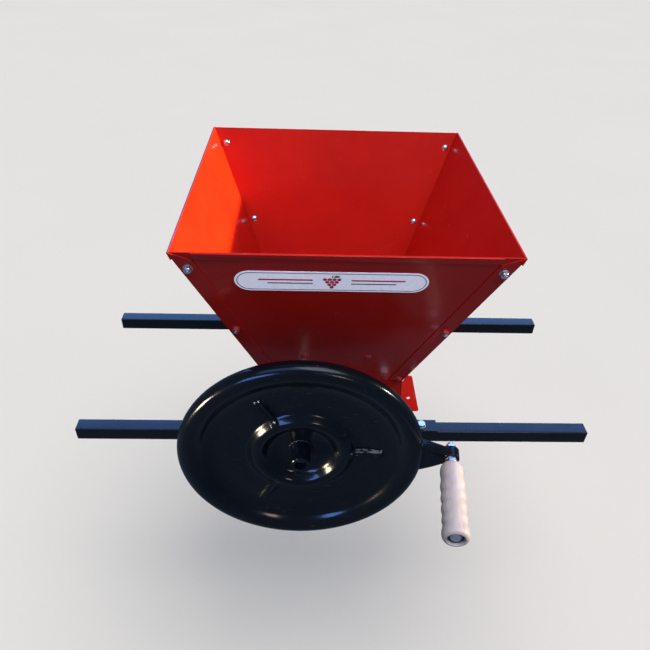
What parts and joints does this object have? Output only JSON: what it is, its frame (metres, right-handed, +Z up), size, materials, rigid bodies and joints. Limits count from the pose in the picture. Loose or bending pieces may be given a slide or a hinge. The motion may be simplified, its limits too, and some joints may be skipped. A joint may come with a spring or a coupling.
{
  "type": "grape crusher",
  "caption": "Hand-cranked grape crusher with a square tapering sheet-metal hopper over geared fluted rollers, carried on long square bars, with a pressed flywheel and a wooden crank grip.",
  "frame": {"origin": "midway between the two bars, in the plane of their undersides, where the crusher rests on a vat", "axes": "+X along the bars, +Y from the flywheel towards the gear guard, +Z up out of the hopper"},
  "size_m": [0.905, 0.6393, 0.5625],
  "materials": {
    "red_paint": "gloss red enamel on sheet steel",
    "black_paint": "gloss black enamel on steel",
    "black_plastic": "moulded end plugs",
    "zinc_plated": "bright zinc plating",
    "nylon": "natural nylon",
    "cast_aluminium": "as cast, satin",
    "cast_iron": "machined and greased",
    "bright_steel": "bright drawn",
    "beech": "turned, lightly oiled",
    "label_foil": "printed foil"
  },
  "bodies": {
    "frame": {"bar_end_plugs": "black_plastic", "bush_nuts": "zinc_plated", "bush_screws": "zinc_plated", "deflector_bolts": "red_paint", "deflector_nuts": "zinc_plated", "drive_shaft_front_bush": "nylon", "drive_shaft_rear_bush": "nylon", "driven_shaft_front_bush": "nylon", "driven_shaft_rear_bush": "nylon", "front_bar": "black_paint", "front_end_deflector": "red_paint", "front_end_plate": "red_paint", "front_rail": "black_paint", "gear_guard": "red_paint", "guard_nuts": "zinc_plated", "guard_spacers": "zinc_plated", "guard_studs": "zinc_plated", "hopper_corner_bolts": "zinc_plated", "hopper_corner_nuts": "zinc_plated", "hopper_front_panel": "red_paint", "hopper_left_panel": "red_paint", "hopper_rear_panel": "red_paint", "hopper_right_panel": "red_paint", "housing_foot_bolts": "zinc_plated", "left_side_plate": "red_paint", "name_plate": "label_foil", "neck_bolts": "red_paint", "neck_nuts": "zinc_plated", "rail_bolts": "zinc_plated", "rear_bar": "black_paint", "rear_end_deflector": "red_paint", "rear_end_plate": "red_paint", "rear_rail": "black_paint", "right_side_plate": "red_paint", "rivet_nuts": "zinc_plated", "side_plate_bolts": "zinc_plated", "side_plate_nuts": "zinc_plated"},
    "crank": {"drive_shaft": "bright_steel", "drive_roller": "cast_aluminium", "drive_roller_pins": "bright_steel", "drive_gear": "cast_iron", "drive_gear_key": "bright_steel", "drive_shaft_collar": "bright_steel", "drive_collar_screw": "bright_steel", "flywheel": "black_paint", "flywheel_hub": "black_paint", "hub_pin": "bright_steel", "crank_lug": "black_paint", "crank_bolt": "zinc_plated", "crank_lock_nuts": "zinc_plated", "grip_washers": "zinc_plated"},
    "driven_roller_body": {"driven_shaft": "bright_steel", "driven_roller": "cast_aluminium", "driven_roller_pins": "bright_steel", "driven_gear": "cast_iron", "driven_gear_key": "bright_steel", "driven_shaft_collar": "bright_steel", "driven_collar_screw": "bright_steel"},
    "grip": {"crank_grip": "beech"}
  },
  "joints": [
    {"name": "crank_spin", "type": "hinge", "parent": "frame", "child": "crank", "pos_m": [-0.059, 0, 0.054], "axis": [0, 1, 0], "continuous": true},
    {"name": "driven_roller_spin", "type": "hinge", "parent": "frame", "child": "driven_roller_body", "pos_m": [0.049, 0, 0.054], "axis": [0, 1, 0], "continuous": true},
    {"name": "grip_spin", "type": "hinge", "parent": "crank", "child": "grip", "pos_m": [0.18449, -0.26782, 0.054], "axis": [-0.1392, -0.9903, 0], "continuous": true}
  ],
  "couplings": [
    {"joint": "driven_roller_spin", "follows": "crank_spin", "ratio": -1}
  ]
}
